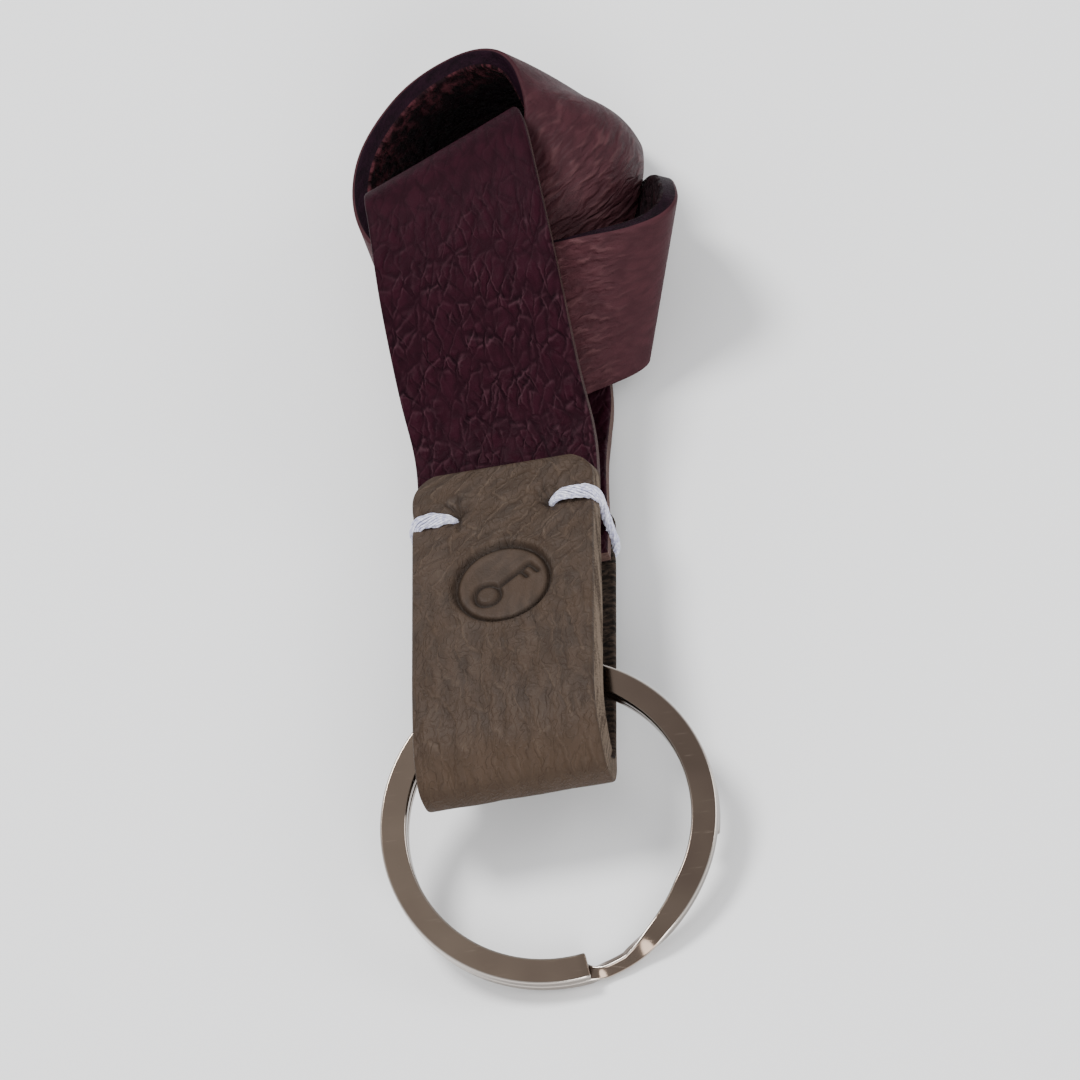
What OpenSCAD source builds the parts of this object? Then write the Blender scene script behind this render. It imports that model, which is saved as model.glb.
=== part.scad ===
// Wristlet keychain: a leather strap tied in one loose overhand knot, a folded leather tab
// held by two whip stitches, and a flat split ring in the fold. It lies as on a table:
// the ring's near side and the knot touch the table, and the tab bridges them.
// +X is to the right, +Y runs from the ring to the knot, +Z is up.

/* [Strap] */
// Width of the leather strap
strap_w = 17.4; // [15:0.1:18]
// Thickness of the strap's leather
strap_t = 1.75; // [1.2:0.05:2]
// Steps between two neighbouring stations of the strap's route
strap_steps = 4; // [3:1:6]

/* [Tab] */
// Width of the folded tab
tab_w = 17.6; // [17.5:0.1:20]
// Length of the folded tab from its fold to its open end
tab_l = 36.1; // [35:0.1:40]
// Height of the folded tab over both panels
tab_h = 9.2; // [9:0.1:11]
// Thickness of the tab's leather
tab_t = 1.5; // [1.2:0.05:1.5]
// Radius of the tab's rounded corners
tab_corner = 3; // [1:0.1:5]
// Angle at which the tab slopes down towards the knot
tab_slope = 5.5; // [4:0.1:7]
// Height of the rear panel's outer face above the table at the fold
tab_lift = 6; // [5.8:0.1:6.5]
// Outer diameter of the pressed round mark
mark_d = 9.8; // [6:0.1:12]
// Depth of the pressed round mark
mark_depth = 0.3; // [0.1:0.05:0.6]

/* [Stitches] */
// Diameter of the thread
thread_d = 1.4; // [1:0.1:1.5]
// Distance of each stitch hole from the tab's middle
stitch_x = 4.4; // [3:0.1:6]
// Distance of the stitches from the fold
stitch_y = 30.7; // [30:0.1:31]
// Free space round the thread in its hole
stitch_gap = 0.35; // [0.3:0.05:0.5]

/* [Split ring] */
// Outer diameter of the split ring
ring_d = 32; // [31.5:0.1:32]
// Width of the ring's flat wire
wire_w = 2.5; // [2:0.1:2.6]
// Thickness of the ring's flat wire
wire_t = 1.1; // [0.8:0.05:1.1]
// Angle over which the wire steps from one coil to the other
step_angle = 53; // [40:1:70]

/* [Hidden] */
$fn = 96;

// The middle of the whole outline on the table, which becomes the origin
origin = [2.33, 33.8, -0.25];

// Middle height of the tab in its own sloping frame
tab_mid = tab_lift + tab_h / 2;
panel_out = tab_h / 2;
panel_in = tab_h / 2 - tab_t;
bore_r = thread_d / 2 + stitch_gap;
side_gap = 0.05;
mark_y = 21.5;
mark_groove = 0.7;

// Where the ring lies: its middle, and the direction of its own axis
ring_mid = [2.2, -0.5, 5.7];
ring_pitch = 17.2;
ring_roll = 4.6;
coil_gap = 0.04;
step_start = 282;
step_cuts = 14;

// The strap's route. Each station has a point on one long edge of the strip, a point on the
// other edge, and how far the strip bows out across its width.
route = [
    [[8.7, 23.6, 10.4], [-8.7, 23.6, 10.4], 0],
    [[8.7, 31, 9.7], [-8.7, 31, 9.7], 0],
    [[8.7, 37, 9.1], [-8.7, 37, 9.1], 0],
    [[8.5, 41.5, 9.6], [-8.9, 41.5, 9.6], 0],
    [[7.8, 47, 12.2], [-9.6, 47, 12.2], 0],
    [[7.1, 56, 17], [-10, 54, 17], 0],
    [[6, 65, 19.5], [-10.3, 61, 19.5], 0],
    [[4.9, 71.2, 19.2], [-10.6, 64.4, 19.2], 0],
    [[3.8, 73.3, 17.2], [-10.3, 66, 16.6], 0],
    [[3, 73.6, 13.4], [-8.8, 65.4, 12.4], 0],
    [[5.5, 73.4, 8], [-5.8, 62, 7], 0],
    [[9, 73.5, 3.4], [-2.2, 59.6, 2.6], 0],
    [[12.6, 72.2, 4.2], [3, 56.6, 1.1], 0],
    [[15.4, 69.6, 9], [7.6, 55, 1], 0],
    [[17, 66, 13], [10.8, 54.4, 1.4], 0],
    [[17.7, 62.4, 15.2], [11.4, 53.8, 1.9], 0],
    [[16.4, 60.4, 15.8], [10.9, 52.9, 2.2], 0],
    [[13.6, 59.4, 16], [9.2, 51.6, 2.8], 0],
    [[10, 59, 16.2], [6, 50.3, 3.1], 0],
    [[5, 59.4, 15.2], [2.2, 48.6, 3], 0],
    [[-0.5, 60, 14.4], [-1.8, 48.6, 2.8], 0],
    [[-5.8, 60.8, 14.2], [-6.2, 50.6, 2.6], 0],
    [[-10.4, 63.2, 14.6], [-9.8, 57, 1.8], 0],
    [[-12, 67.4, 15.8], [-11.3, 65.5, 1.2], 0],
    [[-10.9, 72.8, 16.6], [-10.9, 72.6, 1], 0],
    [[-6.8, 77.9, 17.3], [-8.6, 78.2, 1], 0],
    [[-1.8, 80.6, 17.5], [-2, 82, 1.2], 0],
    [[1.7, 80.3, 17.5], [6, 82.6, 1.8], 1],
    [[3.6, 77.2, 17.3], [11, 78.6, 3.2], 2.4],
    [[4, 72.2, 15.9], [12.6, 73.2, 6.6], 3.8],
    [[0, 65.6, 10.6], [12, 67.2, 7], 3.4],
    [[-5.6, 59.6, 6.6], [9.8, 60.6, 6.2], 2],
    [[-8.3, 54.2, 3.4], [8.7, 54.4, 3.4], 0],
    [[-8.9, 50, 1.2], [8.4, 50, 1.2], 0],
    [[-8.9, 46, 1.7], [8.2, 46, 1.7], 0],
    [[-8.7, 41, 4], [8.4, 41, 4], 0],
    [[-8.7, 36.7, 5.1], [8.6, 36.7, 5.1], 0],
    [[-8.7, 33, 5.4], [8.7, 33, 5.4], 0],
    [[-8.7, 29, 5.8], [8.7, 29, 5.8], 0]
];

function unit(v) = v / norm(v);

// Point t of the way from p1 to p2 on a smooth curve that also passes p0 and p3
function smooth(p0, p1, p2, p3, t) =
    0.5 * (2 * p1 + (p2 - p0) * t + (2 * p0 - 5 * p1 + 4 * p2 - p3) * t * t
        + (3 * p1 - p0 - 3 * p2 + p3) * t * t * t);

// A whole smooth curve through the given values, with its ends carried on straight
function curve(p, steps) = [
    for (i = [0 : len(p) - 2], k = [0 : steps - 1])
        smooth(i > 0 ? p[i - 1] : 2 * p[0] - p[1], p[i], p[i + 1],
            i < len(p) - 2 ? p[i + 2] : 2 * p[i + 1] - p[i], k / steps),
    p[len(p) - 1]
];

strap_mid = curve([for (s = route) (s[0] + s[1]) / 2], strap_steps);
strap_side = curve([for (s = route) s[0] - s[1]], strap_steps);
strap_bow = curve([for (s = route) s[2]], strap_steps);
strap_n = len(strap_mid);

function heading(i) = unit(strap_mid[min(i + 1, strap_n - 1)] - strap_mid[max(i - 1, 0)]);

// One section of the strap: five points on the grain side, then five on the flesh side
function strap_ring(i) =
    let (t = heading(i), a = unit(strap_side[i]), n = unit(cross(a, t)))
    let (bow = strap_bow[i], half = norm(strap_side[i]) / 2 * strap_w / 17.4)
    [
        for (u = [-1, -0.5, 0, 0.5, 1])
            strap_mid[i] + a * u * half + n * (bow * (1 - u * u) + strap_t / 2),
        for (u = [1, 0.5, 0, -0.5, -1])
            strap_mid[i] + a * u * half + n * (bow * (1 - u * u) - strap_t / 2)
    ];

// A closed solid swept through rings of points with the same number of points each
module sweep(rings) {
    m = len(rings[0]);
    last = len(rings) - 1;
    points = [for (r = rings, p = r) p];
    sides = [
        for (i = [0 : last - 1], j = [0 : m - 1])
            let (a = i * m + j, b = i * m + (j + 1) % m)
            each [[a, a + m, b], [b, a + m, b + m]]
    ];
    ends = [[for (j = [0 : m - 1]) j], [for (j = [m - 1 : -1 : 0]) last * m + j]];
    polyhedron(points, concat(sides, ends), convexity = 10);
}

// Puts a child from the tab's own frame, with Y from the fold and Z = 0 at mid height
module in_tab() {
    rotate([-tab_slope, 0, 0]) translate([0, 0, tab_mid]) children();
}

// Outline of one stitch hole from above to below all the layers
module stitch_bore(side) {
    translate([side * stitch_x, stitch_y, -tab_h]) cylinder(r = bore_r, h = 2 * tab_h);
}

// The folded strip seen from its side, as a flat outline with Y along and Z up
module tab_profile() {
    difference() {
        union() {
            translate([tab_h / 2, -panel_out]) square([tab_l - tab_h / 2, tab_h]);
            translate([tab_h / 2, 0]) circle(r = panel_out);
        }
        translate([tab_h / 2, -panel_in]) square([tab_l, 2 * panel_in]);
        translate([tab_h / 2, 0]) circle(r = panel_in);
    }
}

// The tab's outline from above, with its two rounded corners at the open end
module tab_outline() {
    translate([-tab_w / 2, -1]) square([tab_w, tab_l + 1 - tab_corner]);
    translate([-tab_w / 2 + tab_corner, -1]) square([tab_w - 2 * tab_corner, tab_l + 1]);
    for (side = [-1, 1]) translate([side * (tab_w / 2 - tab_corner), tab_l - tab_corner])
        circle(r = tab_corner);
}

module wrist_strap() {
    color("#4a1f2c") difference() {
        sweep([for (i = [0 : strap_n - 1]) strap_ring(i)]);
        in_tab() for (side = [-1, 1]) stitch_bore(side);
    }
}

module connector_tab() {
    color("#6b5a4c") in_tab() difference() {
        intersection() {
            translate([-tab_w, 0, 0]) rotate([90, 0, 90])
                linear_extrude(2 * tab_w) tab_profile();
            translate([0, 0, -tab_h]) linear_extrude(2 * tab_h) tab_outline();
        }
        for (side = [-1, 1]) stitch_bore(side);
        translate([0, mark_y, panel_out - mark_depth]) difference() {
            cylinder(d = mark_d, h = 1);
            translate([0, 0, -1]) cylinder(d = mark_d - 2 * mark_groove, h = 3);
        }
    }
}

// One closed loop of thread: down the hole, out along the rear, round the edge and back
module stitch(side) {
    r = thread_d / 2;
    inner = side * stitch_x;
    outer = side * (tab_w / 2 + r + side_gap);
    level = panel_out + r + side_gap;
    color("#e8e8ec") in_tab() translate([0, stitch_y, 0]) {
        for (x = [inner, outer]) translate([x, 0, -level]) cylinder(r = r, h = 2 * level);
        for (z = [-level, level]) translate([min(inner, outer), 0, z]) rotate([0, 90, 0])
            cylinder(r = r, h = abs(outer - inner));
        for (x = [inner, outer], z = [-level, level]) translate([x, 0, z]) sphere(r = r);
    }
}

module stitch_left() {
    stitch(-1);
}

module stitch_right() {
    stitch(1);
}

// Section of the wire at an angle round the ring, at a height above the ring's mid plane
function wire_ring(angle, z) = [
    for (p = [[ring_d / 2 - wire_w, 0.5], [ring_d / 2, 0.5], [ring_d / 2, -0.5],
            [ring_d / 2 - wire_w, -0.5]])
        [p[0] * cos(angle), p[0] * sin(angle), z + p[1] * wire_t]
];

// Smooth rise from 0 to 1
function ease(t) = t * t * (3 - 2 * t);

module split_ring() {
    level = (wire_t + coil_gap) / 2;
    color("#9a9088") translate(ring_mid) rotate([ring_pitch, ring_roll, 0]) {
        for (z = [-level, level]) rotate([0, 0, step_start + step_angle - 360])
            rotate_extrude(angle = 360 - step_angle)
                translate([ring_d / 2 - wire_w, z - wire_t / 2]) square([wire_w, wire_t]);
        sweep([
            for (k = [-1 : step_cuts + 1])
                let (t = min(max(k / step_cuts, 0), 1))
                wire_ring(step_start + step_angle * k / step_cuts, level * (2 * ease(t) - 1))
        ]);
    }
}

module place() {
    translate(-origin) children();
}

place() wrist_strap();
place() connector_tab();
place() stitch_left();
place() stitch_right();
place() split_ring();
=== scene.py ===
"""Looks of the wristlet keychain: a knotted leather strap, a folded leather tab held by two
whip stitches, and a flat split ring. All shapes are made here, in the row's own frame."""
import math

import bpy
import numpy as np
from mathutils import Matrix, Vector, noise


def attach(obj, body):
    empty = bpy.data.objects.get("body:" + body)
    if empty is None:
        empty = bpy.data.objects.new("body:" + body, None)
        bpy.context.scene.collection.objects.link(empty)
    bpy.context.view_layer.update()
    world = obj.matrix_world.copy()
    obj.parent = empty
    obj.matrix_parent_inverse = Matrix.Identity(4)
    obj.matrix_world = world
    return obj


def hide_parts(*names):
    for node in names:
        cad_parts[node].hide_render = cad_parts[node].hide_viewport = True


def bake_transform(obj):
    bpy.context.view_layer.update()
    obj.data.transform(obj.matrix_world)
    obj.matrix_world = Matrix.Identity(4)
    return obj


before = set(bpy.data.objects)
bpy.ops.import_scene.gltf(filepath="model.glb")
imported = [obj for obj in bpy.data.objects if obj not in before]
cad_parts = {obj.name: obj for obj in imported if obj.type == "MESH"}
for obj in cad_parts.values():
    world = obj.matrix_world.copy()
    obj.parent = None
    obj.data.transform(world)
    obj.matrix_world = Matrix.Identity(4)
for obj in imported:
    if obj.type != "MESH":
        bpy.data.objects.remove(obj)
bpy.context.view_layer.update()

MM = 0.001
# The design's numbers are in millimetres; its origin sits here in the row's frame.
ORIGIN = np.array([2.33, 33.8, -0.25])

STRAP_W = 17.4
STRAP_T = 1.75
TAB_W = 17.6
TAB_L = 36.1
TAB_H = 9.2
TAB_T = 1.5
TAB_CORNER = 3.0
TAB_SLOPE = math.radians(5.5)
TAB_MID = 10.6
MARK_Y = 21.5
STITCH_X = 4.4
STITCH_Y = 30.7
RING_D = 32.0
WIRE_W = 2.5
WIRE_T = 1.1
RING_MID = np.array([2.2, -0.5, 5.7])
RING_PITCH = math.radians(17.2)
RING_ROLL = math.radians(4.6)

# A sheet of leather: its material slots, how far in from the rim its faces round off, and
# the steps of points down its cut edge.
GRAIN, RIM, FLESH = 0, 1, 2
SOFT = 0.3
EDGE_STEPS = 4
# Distances between a sheet's points.
STRAP_PITCH_ALONG = 0.4
STRAP_PITCH_ACROSS = 0.5
TAB_PITCH = 0.17


# ---------------------------------------------------------------- small helpers

def unit(v):
    return v / np.maximum(np.linalg.norm(v, axis=-1, keepdims=True), 1e-9)


def rise(x, a, b):
    """0 below a, 1 above b and smooth between."""
    t = np.clip((np.asarray(x, float) - a) / (b - a), 0, 1)
    return t * t * (3 - 2 * t)


def between(x, a, b, c, d):
    """Rises from 0 to 1 from a to b and falls back to 0 from c to d."""
    return rise(x, a, b) * (1 - rise(x, c, d))


def bell(x, middle, width):
    """1 in the middle and falling off smoothly on both sides."""
    return np.exp(-((x - middle) / width) ** 2)


def lengths(path):
    """How far along the path each of its points lies."""
    return np.concatenate([[0], np.cumsum(np.linalg.norm(np.diff(path, axis=0), axis=1))])


def widened(row, count):
    """One value per row as a grid with that many columns."""
    return np.repeat(row[:, None], count, 1)


def curve(points, steps):
    """A smooth curve through the given points, in that many steps from one to the next,
    with its ends carried on straight."""
    p = np.asarray(points, float)
    q = np.concatenate([[2 * p[0] - p[1]], p, [2 * p[-1] - p[-2]]])
    out = []
    for i in range(len(p) - 1):
        a, b, c, d = q[i], q[i + 1], q[i + 2], q[i + 3]
        for k in range(steps):
            t = k / steps
            out.append(0.5 * (2 * b + (c - a) * t + (2 * a - 5 * b + 4 * c - d) * t * t
                              + (3 * b - a - 3 * c + d) * t ** 3))
    out.append(p[-1])
    return np.array(out)


def resample(values, at, new):
    """Values known at places `at`, read at places `new`, per component."""
    flat = values.reshape(len(values), -1)
    out = np.stack([np.interp(new, at, flat[:, k]) for k in range(flat.shape[1])], 1)
    return out.reshape((len(new),) + values.shape[1:])


def fractal(uv, scale, octaves):
    """Soft noise, about -1 to 1, on an n x m grid of places in a plane, in millimetres."""
    out = np.zeros(uv.shape[:2])
    for k in range(octaves):
        spots = uv.reshape(-1, 2) * (scale * 2 ** k)
        waves = np.array([noise.noise(Vector((x, y, 0))) for x, y in spots])
        out += waves.reshape(out.shape) / 2 ** k
    return out


def from_tab(p):
    """Tab frame (y from the fold, z from mid height) to the design frame."""
    p = np.asarray(p, float)
    y, z = p[..., 1], p[..., 2] + TAB_MID
    c, s = math.cos(TAB_SLOPE), math.sin(TAB_SLOPE)
    return np.stack([p[..., 0], y * c + z * s, -y * s + z * c], -1)


def make_mesh(name, verts, faces, materials, face_mats=None, uvs=None, fields=None):
    """An object from design-frame millimetres. UVs and float fields are given per vertex,
    and material slots per face."""
    mesh = bpy.data.meshes.new(name)
    v = (np.asarray(verts) - ORIGIN) * MM
    mesh.from_pydata(v.tolist(), [], [tuple(int(i) for i in f) for f in faces])
    for m in materials:
        mesh.materials.append(m)
    if face_mats is not None:
        mesh.polygons.foreach_set("material_index", np.asarray(face_mats, np.int32))
    mesh.polygons.foreach_set("use_smooth", np.ones(len(mesh.polygons), bool))
    if uvs is not None:
        layer = mesh.uv_layers.new(name="leather")
        loops = np.empty(len(mesh.loops), np.int32)
        mesh.loops.foreach_get("vertex_index", loops)
        layer.data.foreach_set("uv", np.asarray(uvs, np.float32)[loops].ravel())
    for key, values in (fields or {}).items():
        attribute = mesh.attributes.new(key, "FLOAT", "POINT")
        attribute.data.foreach_set("value", np.asarray(values, np.float32))
    mesh.update()
    obj = bpy.data.objects.new(name, mesh)
    bpy.context.scene.collection.objects.link(obj)
    return obj


def sheet(name, mid, normal, edge, thick, uv, materials, lift, sink, splay, fields):
    """A sheet of leather: grain face, flesh face and a cut edge all round.
    mid and normal are n x m x 3, and edge is each point's distance from the sheet's rim.
    lift and sink move the grain face and the flesh face outwards. The knife leaned, so the
    flesh face reaches further out than the grain face by splay, a pair for the first and
    the last column, each one number or one per row."""
    n, m = edge.shape
    drop = np.where(edge < SOFT, SOFT - np.sqrt(np.maximum(SOFT ** 2 - (SOFT - edge) ** 2, 0)), 0)
    half = thick / 2 - drop
    top = mid + normal * (half + lift)[..., None]
    low = mid - normal * (half + sink)[..., None]
    first, last = (np.broadcast_to(reach, (n,))[:, None] for reach in splay)
    slant = last * np.linspace(0, 1, m) - first * np.linspace(1, 0, m)
    low = low + unit(mid[:, -1] - mid[:, 0])[:, None] * slant[..., None]
    grid = np.arange(n * m).reshape(n, m)
    quads = np.stack([grid[:-1, :-1], grid[:-1, 1:], grid[1:, 1:], grid[1:, :-1]], -1)
    quads = quads.reshape(-1, 4)
    rim = np.concatenate([grid[0, :-1], grid[:-1, -1], grid[-1, :0:-1], grid[:0:-1, 0]])
    count = n * m
    top, low, flat_uv = top.reshape(-1, 3), low.reshape(-1, 3), uv.reshape(-1, 2)
    verts, uvs = [top, low], [flat_uv, flat_uv]
    faces = [quads, quads[:, ::-1] + count]
    slots = [np.full(len(quads), GRAIN), np.full(len(quads), FLESH)]
    above, below = top[rim], low[rim]
    loops = [rim]
    for k in range(1, EDGE_STEPS):
        loops.append(2 * count + (k - 1) * len(rim) + np.arange(len(rim)))
        verts.append(above + (below - above) * k / EDGE_STEPS)
        uvs.append(flat_uv[rim])
    loops.append(rim + count)
    for a, b in zip(loops, loops[1:]):
        faces.append(np.stack([a, b, np.roll(b, -1), np.roll(a, -1)], 1))
        slots.append(np.full(len(a), RIM))
    given = {}
    for key, values in fields.items():
        flat = values.ravel()
        given[key] = np.concatenate([flat, flat] + [flat[rim]] * (EDGE_STEPS - 1))
    return make_mesh(name, np.concatenate(verts), np.concatenate(faces), materials,
                     np.concatenate(slots), np.concatenate(uvs), given)


def grid_normals(mid):
    along = np.gradient(mid, axis=0)
    across = np.gradient(mid, axis=1)
    return unit(np.cross(across, along))


def spread(length, soft, pitch):
    """Positions from 0 to length, close together in the soft rims and even between them."""
    near = np.array([0, 0.25, 0.6, 1.0]) * soft
    inner = np.linspace(soft, length - soft, int((length - 2 * soft) / pitch) + 1)
    return np.concatenate([near, inner[1:-1], (length - near)[::-1]])


# ---------------------------------------------------------------- materials

class Graph:
    """A shader built in few words: add() makes a node, sets values and joins sockets.
    A socket is named by its own name with _ for a space, or by i and its number."""

    def __init__(self, name):
        self.material = bpy.data.materials.new(name)
        self.material.use_nodes = True
        self.tree = self.material.node_tree
        self.tree.nodes.clear()

    def add(self, kind, settings=None, **inputs):
        node = self.tree.nodes.new("ShaderNode" + kind)
        for key, value in (settings or {}).items():
            setattr(node, key, value)
        for key, value in inputs.items():
            name = key.replace("_", " ")
            socket = node.inputs[int(key[1:])] if key[0] == "i" and key[1:].isdigit() \
                else node.inputs[name]
            if isinstance(value, bpy.types.NodeSocket):
                self.tree.links.new(value, socket)
            else:
                socket.default_value = value
        return node

    def math(self, operation, a, b=0.0):
        return self.add("Math", {"operation": operation}, i0=a, i1=b).outputs[0]

    def vmath(self, operation, a, b):
        return self.add("VectorMath", {"operation": operation}, i0=a, i1=b).outputs[0]

    def span(self, value, low, high, out_low=0.0, out_high=1.0):
        node = self.add("MapRange", {"interpolation_type": "SMOOTHSTEP"}, Value=value,
                        From_Min=low, From_Max=high, To_Min=out_low, To_Max=out_high)
        return node.outputs[0]

    def mix(self, factor, a, b):
        node = self.add("Mix", {"data_type": "RGBA"}, i0=factor, i6=a, i7=b)
        return node.outputs[2]

    def noise(self, vector, scale, detail=2.0, rough=0.5):
        return self.add("TexNoise", Vector=vector, Scale=scale, Detail=detail,
                        Roughness=rough)

    def cracks(self, vector, scale):
        return self.add("TexVoronoi", {"feature": "DISTANCE_TO_EDGE"}, Vector=vector,
                        Scale=scale).outputs[0]

    def warped(self, vector, scale, reach):
        """The vector pushed about by soft noise of that scale, up to about half of reach."""
        push = self.vmath("SUBTRACT", self.noise(vector, scale, 3.0).outputs[1], (0.5, 0.5, 0.5))
        return self.vmath("ADD", vector, self.vmath("MULTIPLY", push, (reach, reach, 0.0)))

    def turned(self, vector, degrees, across, along):
        """The vector turned in its plane, then scaled across and along."""
        spun = self.add("VectorRotate", {"rotation_type": "Z_AXIS"}, Vector=vector,
                        Angle=math.radians(degrees)).outputs[0]
        return self.vmath("MULTIPLY", spun, (across, along, 1.0))

    def total(self, *terms):
        """Sum of weight * value * mask."""
        result = None
        for weight, value, mask in terms:
            part = self.math("MULTIPLY", self.math("MULTIPLY", value, weight), mask)
            result = part if result is None else self.math("ADD", result, part)
        return result

    def creases(self, vector, scale, reach):
        """Cracks, and a thin band along the side of each that faces the light, where a highlight
        is painted: how far each point is from a crack, then 0 to 1 for the band."""
        plain = self.cracks(vector, scale)
        moved = self.cracks(self.vmath("ADD", vector, (-reach, reach, 0.0)), scale)
        band = self.math("MULTIPLY", self.span(moved, 0.0, 0.10, 1.0, 0.0),
                         self.span(plain, 0.02, 0.10))
        return plain, band

    def folds(self, vector, scale, detail=2.0):
        """0 along wandering lines and 1 between them, like soft folds."""
        wave = self.noise(vector, scale, detail, 0.45).outputs[0]
        return self.span(self.math("ABSOLUTE", self.math("SUBTRACT", wave, 0.5)), 0.0, 0.07)

    def field(self, name):
        return self.add("Attribute", {"attribute_name": name}).outputs["Fac"]

    def finish(self, height=None, bump=1.0, distance=0.0001, **inputs):
        shader = self.add("BsdfPrincipled", **inputs)
        if height is not None:
            bumped = self.add("Bump", Strength=bump, Distance=distance, Height=height)
            self.tree.links.new(bumped.outputs[0], shader.inputs["Normal"])
        out = self.add("OutputMaterial")
        self.tree.links.new(shader.outputs[0], out.inputs[0])
        return self.material


def rgb(r, g, b):
    """A display colour, 0 to 255, as the linear colour that a shader wants."""
    def channel(c):
        c /= 255
        return c / 12.92 if c <= 0.04045 else ((c + 0.055) / 1.055) ** 2.4
    return (channel(r), channel(g), channel(b), 1.0)


def strap_grain():
    g = Graph("strap_grain")
    uv = g.add("UVMap", {"uv_map": "leather"}).outputs[0]
    bent = g.warped(g.warped(uv, 0.45, 1.1), 1.9, 0.3)
    loose = g.warped(uv, 0.22, 2.6)
    # Two sets of long creases lean either way and cross into loose diamonds
    left, left_highlight = g.creases(g.turned(bent, 20, 1.0, 0.38), 0.84, 0.10)
    right, right_highlight = g.creases(g.turned(bent, -16, 1.0, 0.38), 0.74, 0.10)
    left_on = g.span(g.noise(uv, 0.45, 2.0).outputs[0], 0.36, 0.58, 0.25, 1.0)
    right_on = g.span(g.noise(g.vmath("ADD", uv, (40.0, 9.0, 0.0)), 0.5, 2.0).outputs[0],
                      0.36, 0.58, 0.25, 1.0)
    coarse = g.total((0.25, g.span(left, 0.0, 0.09), left_on),
                     (0.75, g.span(left, 0.0, 0.42), left_on),
                     (0.25, g.span(right, 0.0, 0.09), right_on),
                     (0.75, g.span(right, 0.0, 0.42), right_on))
    second = g.span(g.cracks(g.turned(bent, 5, 1.0, 0.7), 1.5), 0.0, 0.12)
    fine = g.span(g.cracks(bent, 2.6), 0.0, 0.16)
    patch = g.span(g.noise(uv, 0.33, 2.0).outputs[0], 0.38, 0.62, 0.35, 1.0)
    swell = g.noise(g.turned(bent, 10, 1.0, 0.6), 0.95, 2.0).outputs[0]
    grit = g.noise(uv, 9.0, 3.0).outputs[0]
    streak = g.noise(g.turned(loose, 35, 1.5, 0.55), 0.85, 1.2, 0.4).outputs[0]
    dash = g.noise(g.turned(bent, 0, 1.6, 0.6), 0.9, 1.4, 0.45).outputs[0]
    pebble = g.math("MULTIPLY", g.field("pebble"), patch)
    height = g.total((0.20, coarse, pebble), (0.02, second, pebble),
                     (0.12, swell, g.field("pebble")), (0.006, fine, 1.0),
                     (0.50, streak, g.field("wrinkle")), (0.60, dash, g.field("dash")),
                     (0.010, grit, 1.0))
    knot_dye_and_painted_light = g.field("knot_dye_and_painted_light")
    # The legs' dark purple turns to the knot's lighter brown by this field, which along the knot
    # also holds painted light and shade
    base = g.mix(knot_dye_and_painted_light, rgb(39, 12, 22), rgb(74, 43, 47))
    deep = g.mix(knot_dye_and_painted_light, rgb(29, 8, 16), rgb(65, 37, 41))
    # Painted shade: the colour turns to the deep colour near the cracks, and it varies with the
    # swell of the grain
    tone = g.span(g.total((0.4, coarse, 1.0), (0.8, swell, 1.0)), 0.3, 1.0)
    # Painted highlights: a thin band along one side of each crack is coloured lighter, as if lit
    ridge_highlight = g.total((0.6, left_highlight, left_on), (0.6, right_highlight, right_on))
    painted_highlight = g.math("MULTIPLY", ridge_highlight, g.math("MULTIPLY", pebble, 0.45))
    # Painted shade: the cracks themselves are coloured near black
    dark = g.total((0.4, g.span(left, 0.0, 0.12, 1.0, 0.0), left_on),
                   (0.4, g.span(right, 0.0, 0.12, 1.0, 0.0), right_on))
    # Painted highlights: the tops of the wrinkles on the bulge and of the dashes on the band are
    # coloured lighter
    crest_highlight = g.total((0.40, g.span(streak, 0.5, 0.72), g.field("wrinkle")),
                     (0.45, g.span(dash, 0.5, 0.72), g.field("dash")))
    gloss = g.math("MULTIPLY", g.field("wrinkle"), g.field("knot_dye_and_painted_light"))
    rough = g.total((1.0, g.span(grit, 0.3, 0.7, 0.50, 0.60), 1.0), (-0.03, gloss, 1.0))
    shine = g.total((0.035, 1.0, 1.0), (0.045, knot_dye_and_painted_light, 1.0), (0.06, gloss, 1.0))
    colour = g.mix(g.math("MULTIPLY", dark, pebble), g.mix(tone, deep, base), rgb(13, 2, 7))
    colour = g.mix(painted_highlight, colour, rgb(88, 58, 66))
    colour = g.mix(crest_highlight, colour, rgb(94, 62, 64))
    return g.finish(height, 1.0, 0.001, Base_Color=colour, Roughness=rough,
                    Specular_IOR_Level=shine)


def strap_flesh():
    g = Graph("strap_flesh")
    uv = g.add("UVMap", {"uv_map": "leather"}).outputs[0]
    bent = g.warped(uv, 0.9, 0.7)
    nubs = g.noise(g.turned(bent, 25, 1.0, 1.5), 0.62, 2.5, 0.5).outputs[0]
    fuzz = g.noise(uv, 9.0, 3.0, 0.7).outputs[0]
    height = g.total((0.8, g.span(nubs, 0.3, 0.7), 1.0), (0.08, fuzz, 1.0))
    # The nubs are coloured lighter than the hollows between them: their own fibre tone, with
    # painted light on their tops
    tone = g.span(g.total((1.0, nubs, 1.0), (0.2, fuzz, 1.0)), 0.46, 0.78)
    colour = g.mix(tone, rgb(18, 4, 8), rgb(68, 31, 37))
    # Painted shade: darker where the strap closes round on itself, by the deep field
    colour = g.mix(g.field("deep"), colour, rgb(13, 3, 7))
    return g.finish(height, 1.0, 0.001, Base_Color=colour, Roughness=0.75,
                    Specular_IOR_Level=0.1)


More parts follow.
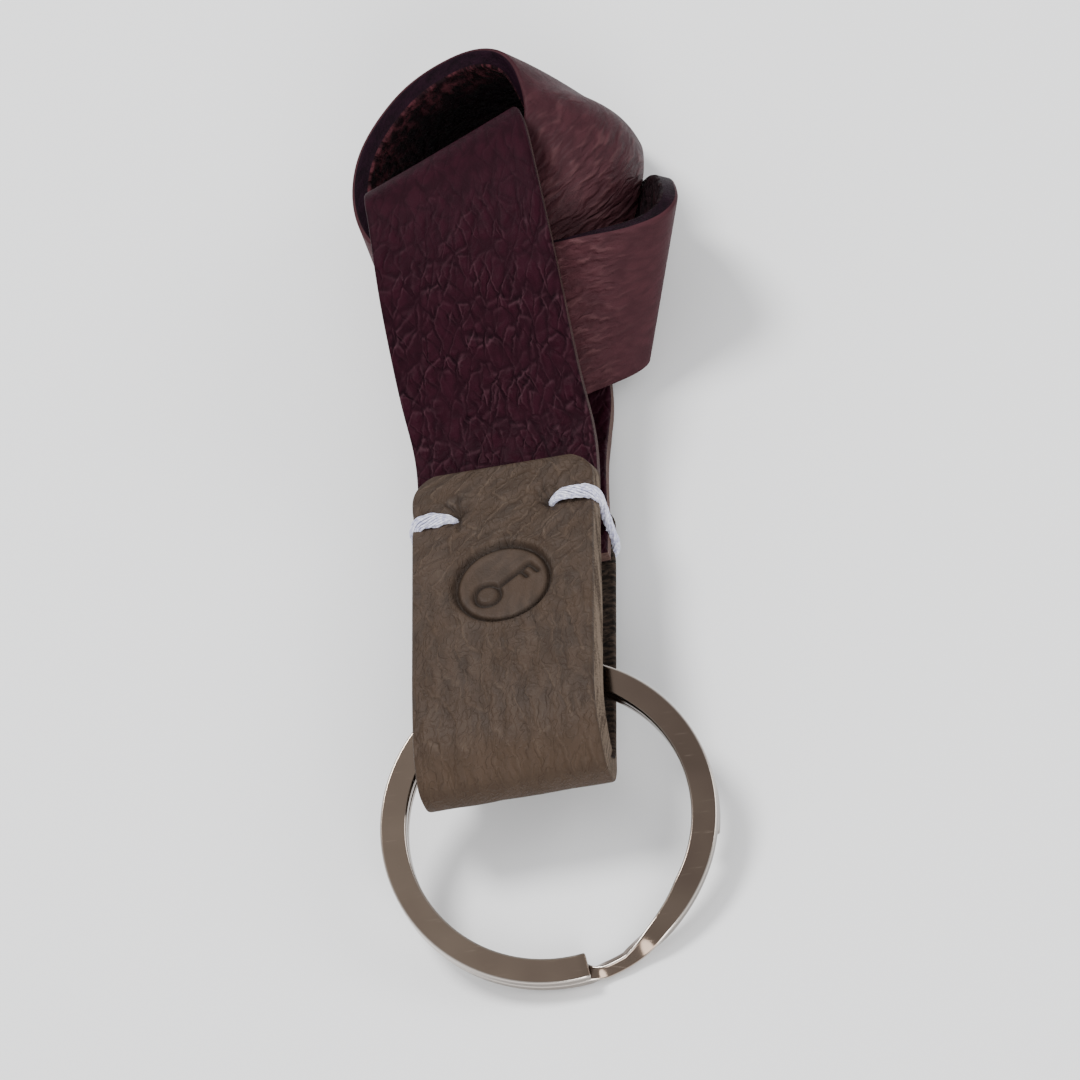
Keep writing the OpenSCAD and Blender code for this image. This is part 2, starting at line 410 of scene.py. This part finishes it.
def cut_edge(name, dark, pale, raw_colour, roughness):
    """The cut side of the leather: its layers in dark and pale, turning to the third colour where
    the field "raw" is 1."""
    g = Graph(name)
    spot = g.add("TexCoord").outputs["Object"]
    body = g.noise(g.vmath("MULTIPLY", spot, (900.0, 130.0, 2600.0)), 1.0, 3.0, 0.6).outputs[0]
    grit = g.noise(spot, 5000.0, 3.0, 0.65).outputs[0]
    height = g.math("ADD", g.math("MULTIPLY", body, 0.6), g.math("MULTIPLY", grit, 0.5))
    tone = g.span(g.math("ADD", body, g.math("MULTIPLY", grit, 0.6)), 0.55, 1.0)
    colour = g.mix(g.math("MULTIPLY", g.field("raw"), g.span(tone, 0.0, 1.0, 0.65, 1.0)),
                   g.mix(tone, dark, pale), raw_colour)
    return g.finish(height, 0.9, 0.00022, Base_Color=colour, Roughness=roughness,
                    Specular_IOR_Level=0.05)


def tab_grain():
    g = Graph("tab_grain")
    uv = g.add("UVMap", {"uv_map": "leather"}).outputs[0]
    bent = g.warped(g.warped(uv, 0.25, 2.0), 1.1, 0.6)
    turn = g.field("turn")
    straight = g.math("SUBTRACT", 1.0, turn)
    low_line, low_highlight = g.creases(g.turned(bent, 4, 1.0, 0.26), 0.68, 0.08)
    high_line, high_highlight = g.creases(g.turned(bent, -48, 1.0, 0.38), 0.62, 0.08)
    low = g.span(low_line, 0.0, 0.14)
    high = g.span(high_line, 0.0, 0.14)
    small = g.folds(g.turned(bent, -20, 1.0, 0.5), 1.5, 1.0)
    long_low = g.noise(g.turned(bent, 4, 1.5, 0.34), 0.65, 1.8, 0.45).outputs[0]
    long_high = g.noise(g.turned(bent, -52, 1.4, 0.4), 0.65, 1.8, 0.45).outputs[0]
    fine = g.span(g.cracks(bent, 2.8), 0.0, 0.16)
    grit = g.noise(uv, 8.0, 3.0).outputs[0]
    swell = g.noise(uv, 0.3, 2.0).outputs[0]
    keep = g.math("SUBTRACT", 1.0, g.math("MULTIPLY", g.field("pressed"), 0.8))
    height = g.total((0.06, low, straight), (0.06, high, turn), (0.36, long_low, straight),
                     (0.36, long_high, turn), (0.045, small, 1.0))
    height = g.total((1.0, height, keep), (0.008, fine, 1.0), (0.016, grit, 1.0))
    tone = g.total((1.0, long_low, straight), (1.0, long_high, turn))
    colour = g.mix(g.span(tone, 0.34, 0.66), rgb(52, 42, 35), rgb(63, 51, 42))
    # Painted shade: the creases are coloured darker, less so inside the pressed mark
    dark = g.math("SUBTRACT", 0.18, g.total((0.18, low, straight), (0.18, high, turn)))
    colour = g.mix(g.math("MULTIPLY", dark, keep), colour, rgb(34, 26, 20))
    # Painted highlights: a thin band along one side of each crease is coloured lighter, less so
    # inside the mark
    painted_highlight = g.total((0.26, low_highlight, straight), (0.34, high_highlight, turn))
    colour = g.mix(g.math("MULTIPLY", painted_highlight, keep), colour, rgb(104, 89, 76))
    # Painted light on the bend of the fold
    colour = g.mix(g.field("fold_painted_light"), colour, rgb(68, 52, 39))
    colour = g.mix(g.span(swell, 0.35, 0.7, 0.0, 0.5), colour, rgb(57, 43, 32))
    # Painted shade in the mark's grooves, the stitch holes and their creases
    colour = g.mix(g.math("MULTIPLY", g.field("painted_groove_shade"), 0.75), colour, rgb(26, 19, 15))
    rough = g.span(grit, 0.3, 0.7, 0.50, 0.62)
    return g.finish(height, 1.0, 0.001, Base_Color=colour, Roughness=rough,
                    Specular_IOR_Level=0.14)


def tab_flesh():
    g = Graph("tab_flesh")
    uv = g.add("UVMap", {"uv_map": "leather"}).outputs[0]
    nap = g.noise(g.vmath("MULTIPLY", uv, (0.7, 1.5, 1.0)), 1.5, 4.0, 0.62).outputs[0]
    fuzz = g.noise(uv, 10.0, 3.0, 0.7).outputs[0]
    height = g.math("ADD", g.math("MULTIPLY", nap, 1.5), g.math("MULTIPLY", fuzz, 0.3))
    colour = g.mix(g.span(nap, 0.35, 0.68), rgb(22, 16, 13), rgb(74, 60, 50))
    return g.finish(height, 1.0, 0.0005, Base_Color=colour, Roughness=0.88,
                    Specular_IOR_Level=0.2)


def thread_look():
    g = Graph("thread_white")
    spot = g.add("TexCoord").outputs["Object"]
    fibre = g.noise(spot, 3000.0, 3.0, 0.6).outputs[0]
    # The darker lilac is a tint with painted shade in it, for the gaps between the filaments,
    # laid at random
    colour = g.mix(g.span(fibre, 0.3, 0.75), rgb(160, 160, 192), rgb(236, 236, 246))
    return g.finish(fibre, 0.5, 0.00003, Base_Color=colour, Roughness=0.38,
                    Specular_IOR_Level=0.6, Sheen_Weight=0.3)


def ring_look():
    g = Graph("ring_metal")
    spot = g.add("TexCoord").outputs["Object"]
    haze = g.noise(spot, 260.0, 3.0, 0.6).outputs[0]
    scratch = g.noise(g.add("Mapping", Vector=spot, Rotation=(0.0, 0.0, math.radians(35)),
                            Scale=(300.0, 6000.0, 300.0)).outputs[0], 1.0, 2.0).outputs[0]
    rough = g.math("ADD", g.span(haze, 0.35, 0.7, 0.15, 0.17),
                   g.span(scratch, 0.62, 0.75, 0.0, 0.06))
    # Painted reflection: the metal's brownish colour stands for the brown surroundings it
    # reflects; it is lighter towards one side and varies in soft clouds
    cloud = g.noise(spot, 110.0, 2.0, 0.5).outputs[0]
    tone = g.total((0.7, g.field("painted_reflection"), 1.0), (0.3, g.span(cloud, 0.35, 0.65), 1.0))
    colour = g.mix(tone, rgb(92, 79, 70), rgb(126, 111, 98))
    colour = g.mix(g.span(scratch, 0.66, 0.78, 0.0, 0.25), colour, rgb(150, 138, 126))
    # Painted highlights: the corners, and a little the outer wall, are coloured lighter
    colour = g.mix(g.field("edge"), colour, rgb(196, 188, 180))
    return g.finish(scratch, 0.05, 0.00002, Base_Color=colour, Metallic=1.0, Roughness=rough)


# ---------------------------------------------------------------- strap

# Each station has a point on one long edge, a point on the other edge, and how far the
# strip bows out across its width. Stations 0 to 7 are the front leg, 8 to 13 turn under it,
# 14 to 21 are the band round the outside, 22 to 26 the tall arch, 27 to 31 come down through
# the band, and 32 to 38 are the rear leg. The first and the last few lie inside the tab.
ROUTE = [
    [(8.7, 23.6, 10.4), (-8.7, 23.6, 10.4), 0], [(8.7, 31, 9.7), (-8.7, 31, 9.7), 0],
    [(8.7, 37, 9.1), (-8.7, 37, 9.1), 0], [(8.5, 41.5, 9.6), (-8.9, 41.5, 9.6), 0],
    [(7.8, 47, 12.2), (-9.6, 47, 12.2), 0], [(7.1, 56, 17), (-10, 54, 17), 0],
    [(6, 65, 19.5), (-10.3, 61, 19.5), 0], [(4.9, 71.2, 19.2), (-10.6, 64.4, 19.2), 0],
    [(3.8, 73.3, 17.2), (-10.3, 66, 16.6), 0], [(3, 73.6, 13.4), (-8.8, 65.4, 12.4), 0],
    [(5.5, 73.4, 8), (-5.8, 62, 7), 0],
    [(9, 73.5, 3.4), (-2.2, 59.6, 2.6), 0], [(12.6, 72.2, 4.2), (3, 56.6, 1.1), 0],
    [(15.4, 69.6, 9), (7.6, 55, 1), 0], [(17, 66, 13), (10.8, 54.4, 1.4), 0],
    [(17.7, 62.4, 15.2), (11.4, 53.8, 1.9), 0], [(16.4, 60.4, 15.8), (10.9, 52.9, 2.2), 0],
    [(13.6, 59.4, 16), (9.2, 51.6, 2.8), 0], [(10, 59, 16.2), (6, 50.3, 3.1), 0],
    [(5, 59.4, 15.2), (2.2, 48.6, 3), 0], [(-0.5, 60, 14.4), (-1.8, 48.6, 2.8), 0],
    [(-5.8, 60.8, 14.2), (-6.2, 50.6, 2.6), 0], [(-10.4, 63.2, 14.6), (-9.8, 57, 1.8), 0],
    [(-12, 67.4, 15.8), (-11.3, 65.5, 1.2), 0], [(-10.9, 72.8, 16.6), (-10.9, 72.6, 1), 0],
    [(-6.8, 77.9, 17.3), (-8.6, 78.2, 1), 0], [(-1.8, 80.6, 17.5), (-2, 82, 1.2), 0],
    [(1.7, 80.3, 17.5), (6, 82.6, 1.8), 0.6], [(3.6, 77.2, 17.3), (11, 78.6, 3.2), 1.1],
    [(4, 72.2, 15.9), (12.6, 73.2, 6.6), 3.4], [(0, 65.6, 10.6), (12, 67.2, 7), 3.4],
    [(-5.6, 59.6, 6.6), (9.8, 60.6, 6.2), 2], [(-8.3, 54.2, 3.4), (8.7, 54.4, 3.4), 0],
    [(-8.9, 50, 1.2), (8.4, 50, 1.2), 0], [(-8.9, 46, 1.7), (8.2, 46, 1.7), 0],
    [(-8.7, 41, 4), (8.4, 41, 4), 0], [(-8.7, 36.7, 5.1), (8.6, 36.7, 5.1), 0],
    [(-8.7, 33, 5.4), (8.7, 33, 5.4), 0], [(-8.7, 29, 5.8), (8.7, 29, 5.8), 0],
]


def route_grid(steps, columns):
    """Points of the strap's middle layer, n x m x 3, and each row's station number."""
    first = curve([s[0] for s in ROUTE], steps)
    second = curve([s[1] for s in ROUTE], steps)
    bow = curve([[s[2]] for s in ROUTE], steps)[:, 0]
    mid = (first + second) / 2
    heading = unit(np.gradient(mid, axis=0))
    side = first - second
    half = np.linalg.norm(side, axis=1) / 2
    side = unit(side)
    out = unit(np.cross(side, heading))
    u = np.linspace(-1, 1, columns)
    grid = (mid[:, None] + side[:, None] * (half[:, None] * u)[..., None]
            + out[:, None] * (bow[:, None] * (1 - u ** 2))[..., None])
    return grid, np.arange(len(mid)) / steps


def build_strap():
    grid, station = route_grid(steps=8, columns=15)
    length = lengths(grid[:, grid.shape[1] // 2])
    along = spread(length[-1], SOFT, STRAP_PITCH_ALONG)
    across = spread(STRAP_W, SOFT, STRAP_PITCH_ACROSS)
    rows = resample(grid, length, along)
    places = np.linspace(0, STRAP_W, grid.shape[1])
    mid = np.swapaxes(resample(np.swapaxes(rows, 0, 1), places, across), 0, 1)
    normal = grid_normals(mid)
    s, u = np.meshgrid(along, across, indexing="ij")
    edge = np.minimum(np.minimum(s, along[-1] - s), np.minimum(u, STRAP_W - u))
    # From here on, where each look starts and ends is given by station numbers
    station = np.interp(along, length, station)
    st = widened(station, len(across))
    pebble = np.maximum(1 - 0.85 * rise(st, 4.6, 6.4), 0.85 * rise(st, 31, 33))
    pebble = pebble * (1 - 0.7 * between(st, 13, 15, 20, 22))
    wrinkle = between(st, 27.6, 29.8, 30.8, 32.2)
    dash = between(st, 16.2, 18.0, 19.5, 21)
    # The stretched leather of the knot is lighter and browner than the legs.
    # Along the knot it is also painted lighter and darker for light and shade: darker on the
    # band's right part, the arch and the upper bulge, lightest on the lower bulge.
    knot_dye_and_painted_light = between(st, 12, 14, 31.5, 32.5) * np.interp(
        st, [14, 17, 18.5, 21, 26, 29, 30.3], [0.58, 0.60, 0.80, 0.80, 0.46, 0.46, 1.0])
    # Painted shade: the flesh side is coloured darker where the strap closes round on itself
    deep = np.maximum(0.9 * rise(st, 23.2, 25.2) * rise(STRAP_W - u, 1, 5),
                      0.85 * between(st, 11, 13, 19, 21))
    # Painted shade: the cut edges are coloured dark, for the shade round the knot; near the tab,
    # a little on the front leg and fully on the rear leg, they show their lighter raw colour
    raw = 0.45 * (1 - rise(st, 6.5, 8)) + rise(st, 31.5, 33)
    # In the arch the cut edges lean the other way
    splay = -0.5 * between(station, 21, 23.5, 28.5, 30)
    uv = np.stack([u, s], -1)
    # The strap's cut edge colours: near black layers, painted shade, and the lighter raw colour
    materials = [strap_grain(),
                 cut_edge("strap_cut_edge", rgb(13, 4, 10), rgb(26, 9, 20), rgb(92, 72, 66), 0.6),
                 strap_flesh()]
    sink = 0.10 * fractal(uv, 1.1, 3) * rise(edge, 0.2, 1.2)
    return sheet("strap_leather", mid, normal, edge, STRAP_T, uv, materials, 0.0, sink,
                 (splay, splay), {"pebble": pebble, "wrinkle": wrinkle, "knot_dye_and_painted_light": knot_dye_and_painted_light,
                                  "dash": dash, "deep": deep, "raw": raw})


# ---------------------------------------------------------------- tab

def key_mark(x, y):
    """Depths, 0 to 1, of the pressed mark at x, y from its middle: a round border, then a
    plain key. Last comes the distance from the middle."""
    radius = np.hypot(x, y)
    border = bell(radius, 4.55, 0.28) ** 1.2
    turn = math.radians(38)
    a = x * math.cos(turn) + y * math.sin(turn)
    b = -x * math.sin(turn) + y * math.cos(turn)

    def line(x0, y0, x1, y1):
        dx, dy = x1 - x0, y1 - y0
        t = np.clip(((a - x0) * dx + (b - y0) * dy) / (dx * dx + dy * dy), 0, 1)
        return np.hypot(a - x0 - t * dx, b - y0 - t * dy)

    # The key's bow, then its shaft and two teeth
    gap = np.abs(np.hypot(a + 1.9, b) - 1.25)
    for ends in ((-0.65, 0, 3.2, 0), (3.2, 0, 3.2, -1.3), (2.1, 0, 2.1, -1.0)):
        gap = np.minimum(gap, line(*ends))
    return border, bell(gap, 0, 0.25) ** 1.2, radius


# Where the mid-line turns back in the fold, from the fold's outside
FOLD_Y = 0.9
# The short creases out of each stitch hole: angle in degrees and length
HOLE_CREASES = ((100, 3.2), (128, 2.4), (62, 2.8), (-98, 2.6), (-60, 1.8), (160, 1.6))


def build_tab():
    # The folded strip from the side: mid-line points (y, z) from the front panel's
    # open end, round the fold, to the rear panel's open end.
    z = TAB_H / 2 - TAB_T / 2
    side = [(TAB_L, z), (28, z), (20, z), (13, z), (9, z - 0.05), (6, z - 0.35), (3.6, z - 1.1),
            (1.8, z - 2.3), (0.85, 0.2), (1.3, -z + 1.8), (2.9, -z + 0.55), (5.4, -z + 0.1),
            (9, -z), (14, -z), (21, -z), (28, -z), (TAB_L, -z)]
    line = curve(side, 16)
    length = lengths(line)
    total = length[-1]
    along = spread(total, SOFT, TAB_PITCH)
    line = resample(line, length, along)
    line_y = line[:, 0]
    heading = unit(np.gradient(line, axis=0))
    out = np.stack([heading[:, 1], -heading[:, 0]], 1)
    out = out * (-1 if out[0, 1] < 0 else 1)
    # The leather is a little wider where it is folded
    width = TAB_W + 0.5 * bell(line_y, FOLD_Y, 3.5)
    across = spread(1.0, SOFT / TAB_W, TAB_PITCH / TAB_W)
    count = len(across)
    s, u = np.meshgrid(along, across, indexing="ij")
    end = np.minimum(s, total - s)
    cut = np.where(end < TAB_CORNER, TAB_CORNER - np.sqrt(np.maximum(
        TAB_CORNER ** 2 - (TAB_CORNER - end) ** 2, 0)), 0)
    # The stitches tie the sides in a little, but less so where the right one is slack
    tie = bell(end, TAB_L - STITCH_Y, 0.8)
    half = width[:, None] / 2 - cut - tie * np.where((u > 0.5) & (s < total / 2), 0.2, 0.45)
    x = (u - 0.5) * 2 * half
    y = widened(line_y, count)
    mid = np.stack([x, y, widened(line[:, 1], count)], -1)
    normal = np.stack([np.zeros_like(x), widened(out[:, 0], count),
                       widened(out[:, 1], count)], -1)
    edge = np.minimum(end, half - np.abs(x))
    # The mark is pressed into the front panel only
    front_row = along < total / 2
    front = widened(front_row, count)
    border, glyph, radius = key_mark(x, y - MARK_Y)
    inside = 1 - rise(radius, 4.2, 4.7)
    lift = np.where(front, -0.60 * border - 0.50 * glyph - 0.24 * inside
                    + 0.14 * bell(radius, 5.3, 0.5), 0)
    # Painted shade: the mark's border and key are coloured darker
    painted_groove_shade = np.where(front, np.maximum(border, glyph), 0)
    pressed = np.where(front, inside, 0)
    # A dimple at each stitch hole, short creases out of it, and a slight pull to the edge
    for sx in (-1, 1):
        dx, dy = x - sx * STITCH_X, y - STITCH_Y
        d = np.hypot(dx, dy)
        lift = lift - 0.55 * bell(d, 0, 0.5) - 0.18 * bell(d, 0, 1.7)
        # Painted shade in each stitch hole and along its creases
        painted_groove_shade = np.maximum(painted_groove_shade, np.exp(-(d / 0.6) ** 4))
        for angle, reach in HOLE_CREASES:
            turn = math.radians(angle if sx > 0 else 180 - angle)
            a = dx * math.cos(turn) + dy * math.sin(turn)
            b = -dx * math.sin(turn) + dy * math.cos(turn) + 0.12 * np.sin(a * 3 + angle)
            crease = bell(b, 0, 0.19) * between(a, 0.1, 0.5, reach * 0.5, reach)
            lift = lift - 0.26 * crease
            painted_groove_shade = np.maximum(painted_groove_shade, 0.6 * crease)
        outward = rise(sx * x, STITCH_X, STITCH_X + 0.8)
        lift = lift - 0.14 * bell(dy, 0, 0.9) * outward
    uv = np.stack([(u - 0.5) * width[:, None] + TAB_W / 2, s], -1)
    bumps = fractal(uv, 0.35, 2)
    lift = lift + 0.05 * bumps * rise(edge, 0.1, 1.0)
    # The flesh face is rougher, and the leather is thinned on the inside of the fold
    sink = 0.10 * bumps * rise(edge, 0.2, 1.2) + 1.3 * bell(y, FOLD_Y, 2.4)
    # The grain runs aslant near the open end and straight near the fold
    turn = np.where(front, 1 - rise(s, 9, 19), 0.5)
    # Painted light: the leather near the fold is coloured lighter and browner, as the
    # front-facing bend catches the light
    fold_painted_light = 0.55 * (1 - rise(y, 0, 6.5))
    right_splay = (np.where(front_row, 0.42 + 0.22 * (1 - rise(line_y, 14, 30)), 0.2)
                   - 0.25 * (1 - rise(line_y, 1, 5)))
    materials = [tab_grain(),
                 cut_edge("tab_cut_edge", rgb(58, 48, 40), rgb(106, 93, 81),
                          rgb(106, 93, 81), 0.7),
                 tab_flesh()]
    return sheet("tab_leather", from_tab(mid), from_tab(normal) - from_tab(np.zeros(3)),
                 edge, TAB_T, uv, materials, lift, sink, (0.15, right_splay),
                 {"painted_groove_shade": painted_groove_shade, "pressed": pressed, "turn": turn, "fold_painted_light": fold_painted_light})


# ---------------------------------------------------------------- stitches

def tube(path, radius, sides):
    """Vertices and faces of a round open tube along a path."""
    heading = unit(np.gradient(path, axis=0))
    up = np.array([0.3, 0.9, 0.2])
    a = unit(np.cross(heading, up))
    b = np.cross(heading, a)
    turn = np.arange(sides) * 2 * math.pi / sides
    ring = (a[:, None] * np.cos(turn)[None, :, None] + b[:, None] * np.sin(turn)[None, :, None])
    verts = (path[:, None] + ring * radius).reshape(-1, 3)
    grid = np.arange(len(path) * sides).reshape(len(path), sides)
    nxt = np.roll(grid, -1, 1)
    quads = np.stack([grid[:-1], nxt[:-1], nxt[1:], grid[1:]], -1).reshape(-1, 4)
    return verts, quads


def carried(path):
    """Two directions square to the path that turn as little as they can along it."""
    heading = unit(np.gradient(path, axis=0))
    a = np.zeros_like(path)
    a[0] = unit(np.cross(heading[0], [0, 1, 0]))
    for i in range(1, len(path)):
        v = a[i - 1] - heading[i] * (a[i - 1] @ heading[i])
        a[i] = v / np.linalg.norm(v)
    return a, np.cross(heading, a)


# The thread's course in the tab's frame, in front and round the edge. The right stitch has
# some slack round the edge; the left one, given as if it were on the right, is pulled tight.
RIGHT_COURSE = [
    (4.45, 30, 2.4), (4.6, 30, 3.5), (4.85, 30, 4.2), (5.3, 30.05, 4.65), (6, 30.15, 4.9),
    (7, 30.15, 4.95), (8, 30.1, 4.85), (8.7, 30.15, 4.35), (9.1, 30.2, 3.4), (9.1, 30.3, 1.8),
    (9, 30.4, 0), (8.95, 30.5, -1.8), (8.95, 30.5, -3.3), (8.6, 30.4, -4.5), (7.9, 30.2, -4.9)]
LEFT_COURSE = [
    (4.45, 29.65, 2.4), (4.6, 29.65, 3.5), (4.85, 29.65, 4.15), (5.3, 29.65, 4.55),
    (6, 29.6, 4.75), (7, 29.55, 4.8), (7.9, 29.5, 4.8), (8.5, 29.45, 4.3), (8.8, 29.45, 3.5),
    (8.9, 29.45, 1.8), (8.95, 29.45, 0), (8.9, 29.45, -1.8), (8.8, 29.45, -3.5),
    (8.5, 29.5, -4.3), (7.9, 29.55, -4.8)]
REAR_COURSE = [(6.6, 30, -5.1), (5.2, 30, -4.9), (4.6, 30, -4.4), (4.35, 30, -3.6),
               (4.35, 30, -2.4)]
# The height along the tab that the courses are written for
COURSE_Y = 30
FILAMENT_R = 0.115
# How much thread one full turn of its twist takes
TWIST_LENGTH = 8
# Each filament's distance from the thread's middle, and where round it the filament starts
FILAMENTS = ([(0.0, 0.0)] + [(0.21, k * math.pi / 3) for k in range(6)]
             + [(0.42, k * math.pi / 6 + 0.2) for k in range(12)])


def build_stitch(side, look):
    """The stitch on one side of the tab: 1 is the right, -1 the left."""
    path = curve((RIGHT_COURSE if side > 0 else LEFT_COURSE) + REAR_COURSE, 14)
    path = path * (side, 1, 1) + (0, STITCH_Y - COURSE_Y, 0)
    step = lengths(path)
    a, b = carried(path)
    verts, faces, total = [], [], 0
    # The bundle spreads where it crosses the leather's face, and thins into its holes
    face = between(step, 2.2, 4.2, 6.2, 9.0)
    thin = 0.7 + 0.3 * rise(np.minimum(step, step[-1] - step), 2.0, 3.4)
    for k, (out, start) in enumerate(FILAMENTS):
        spin = start + side * 2 * math.pi * step / TWIST_LENGTH
        wander = 0.05 * np.sin(step * (0.9 + 0.13 * k) + 2.1 * k) if out else 0
        reach = (out * (1 + 0.10 * np.sin(step * 0.7 + 1.3 * k)) + wander) * thin
        line = path + a * (reach * np.cos(spin) * 0.78)[:, None] + b * (
            reach * np.sin(spin) * (1.1 + 0.5 * face))[:, None]
        v, f = tube(line, FILAMENT_R, 6)
        verts.append(v)
        faces.append(f + total)
        total += len(v)
    return make_mesh("stitch_thread_" + ("right" if side > 0 else "left"),
                     from_tab(np.concatenate(verts)), np.concatenate(faces), [look])


# ---------------------------------------------------------------- ring

def build_ring(look):
    # The wire runs nearly twice round, by degrees, with closer sections where it crosses
    # from the lower coil to the upper one
    angle = np.concatenate([np.arange(-9, 276, 3.0), np.arange(276, 340, 1.0),
                            np.arange(340, 642.1, 3.0)])
    height = (WIRE_T + 0.04) / 2 * (2 * rise(angle, 282, 335) - 1)
    # Between the coils the wire is pressed narrow, and its inner edge runs out on a slant
    narrow = rise(angle, 276, 283) * (1 - np.clip((angle - 294) / 34, 0, 1) ** 0.7)
    width = WIRE_W - 1.15 * narrow
    roll = -0.75 * between(angle, 279, 287, 296, 312)
    # The wire's section, a rectangle with rounded corners of that radius, each an arc of
    # points: for every point its corner's signs, its place from the arc's middle, and the
    # cosine of its direction
    corner, arc = 0.2, 4
    section = []
    for k, (sx, sy) in enumerate(((1, 1), (-1, 1), (-1, -1), (1, -1))):
        for j in range(-1, arc + 1):
            t = math.pi / 2 * (k + min(max(j, 0), arc - 1) / (arc - 1))
            # One more point on each flat keeps its shading flat
            back = 0.07 * ((j < 0) - (j == arc))
            section.append((sx, sy, corner * math.cos(t) + back * math.sin(t),
                            corner * math.sin(t) - back * math.cos(t), math.cos(t)))
    sx, sy, cx, cy, lean = (np.array(c) for c in zip(*section))
    out = sx * (width[:, None] / 2 - corner) + cx
    above = np.broadcast_to(sy * (WIRE_T / 2 - corner) + cy, out.shape)
    cos, sin = np.cos(roll)[:, None], np.sin(roll)[:, None]
    radial = (RING_D / 2 - width / 2)[:, None] + out * cos - above * sin
    axial = height[:, None] + out * sin + above * cos
    turn = np.radians(angle)[:, None]
    ring = np.stack([radial * np.cos(turn), radial * np.sin(turn), axial], -1)
    # Soften the two cut ends with a slightly smaller last section
    caps = []
    for last, previous in ((ring[0], ring[1]), (ring[-1], ring[-2])):
        centre = last.mean(0)
        step = unit(centre - previous.mean(0)) * 0.1
        caps.append(centre + (last - centre) * 0.93 + step)
    ring = np.concatenate([caps[:1], ring, caps[1:]])
    n, m = ring.shape[:2]
    cp, sp = math.cos(RING_PITCH), math.sin(RING_PITCH)
    cr, sr = math.cos(RING_ROLL), math.sin(RING_ROLL)
    tilt = np.array([[cr, 0, sr], [0, 1, 0], [-sr, 0, cr]]) @ np.array(
        [[1, 0, 0], [0, cp, -sp], [0, sp, cp]])
    verts = ring.reshape(-1, 3) @ tilt.T + RING_MID
    # Painted highlights: the rounded corners are coloured lighter, most of all the outer ones;
    # the outer wall less so, and the other faces not at all
    corner_highlight = np.sin(2 * np.arccos(np.clip(np.abs(lean), 0, 1)))
    corner_highlight = corner_highlight * np.where(lean > 0, 1.0, 0.6) + 0.45 * (lean > 0.99)
    # Painted reflection: one side of the ring is coloured a little lighter
    spot = np.radians(np.concatenate([angle[:1], angle, angle[-1:]]))
    painted_reflection = widened(0.5 - 0.5 * np.cos(spot - 0.25), m)
    grid = np.arange(n * m).reshape(n, m)
    nxt = np.roll(grid, -1, 1)
    quads = np.stack([grid[:-1], grid[1:], nxt[1:], nxt[:-1]], -1).reshape(-1, 4).tolist()
    quads += [grid[0].tolist(), grid[-1][::-1].tolist()]
    return make_mesh("split_ring_wire", verts, quads, [look],
                     fields={"edge": np.tile(corner_highlight, n), "painted_reflection": painted_reflection.ravel()})


# ---------------------------------------------------------------- stage, light, camera

def build_stage():
    g = Graph("pale_floor")
    look = g.finish(Base_Color=rgb(240, 240, 240), Roughness=0.9, Specular_IOR_Level=0.0)
    mesh = bpy.data.meshes.new("floor")
    # In metres, and a hair below the object, so that the two don't share a face
    half, level = 3.0, -0.0001
    corners = [(-half, -half, level), (half, -half, level), (half, half, level),
               (-half, half, level)]
    mesh.from_pydata(corners, [], [(0, 1, 2, 3)])
    mesh.materials.append(look)
    floor = bpy.data.objects.new("floor", mesh)
    bpy.context.scene.collection.objects.link(floor)


def area_light(name, place, size, power):
    target = (0, 0, 0.008)
    light = bpy.data.lights.new(name, "AREA")
    light.shape = "DISK"
    light.size = size
    light.energy = power
    obj = bpy.data.objects.new(name, light)
    obj.location = place
    obj.rotation_euler = (Vector(place) - Vector(target)).to_track_quat("Z", "Y").to_euler()
    bpy.context.scene.collection.objects.link(obj)


def build_lights():
    area_light("key", (-0.50, 0.40, 1.3), 0.5, 20)
    area_light("fill", (0.35, -1.3, 0.8), 0.8, 16)
    area_light("side", (1.1, 0.1, 0.9), 0.6, 4)
    world = bpy.data.worlds.new("studio")
    world.use_nodes = True
    world.node_tree.nodes["Background"].inputs[0].default_value = (0.82, 0.83, 0.85, 1)
    world.node_tree.nodes["Background"].inputs[1].default_value = 1.06
    bpy.context.scene.world = world


def build_camera():
    # The photo was taken from above and a little turned and tilted to the object
    right = Vector((0.968, -0.0237, -0.2464)).normalized()
    back = right.cross(Vector((0.162, 0.8124, 0.5598))).normalized()
    up = back.cross(right)
    target = Vector((-0.00015, -0.002, 0.0066))
    distance = 4.0
    view_width = 0.1016
    camera = bpy.data.cameras.new("camera")
    camera.sensor_width = 36
    camera.lens = camera.sensor_width * distance / view_width
    camera.clip_start = 0.5
    camera.clip_end = 20
    obj = bpy.data.objects.new("camera", camera)
    turn = Matrix((right, up, back)).transposed().to_4x4()
    obj.matrix_world = Matrix.Translation(target + back * distance) @ turn
    bpy.context.scene.collection.objects.link(obj)
    bpy.context.scene.camera = obj


strap = build_strap()
tab = build_tab()
thread = thread_look()
stitches = {side: build_stitch(side, thread) for side in (-1, 1)}
ring = build_ring(ring_look())

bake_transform(strap)
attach(tab, "tab")
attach(stitches[-1], "tab")
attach(stitches[1], "tab")
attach(ring, "ring")
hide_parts("wrist_strap")
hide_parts("connector_tab")
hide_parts("stitch_left")
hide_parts("stitch_right")
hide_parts("split_ring")

build_stage()
build_lights()
build_camera()
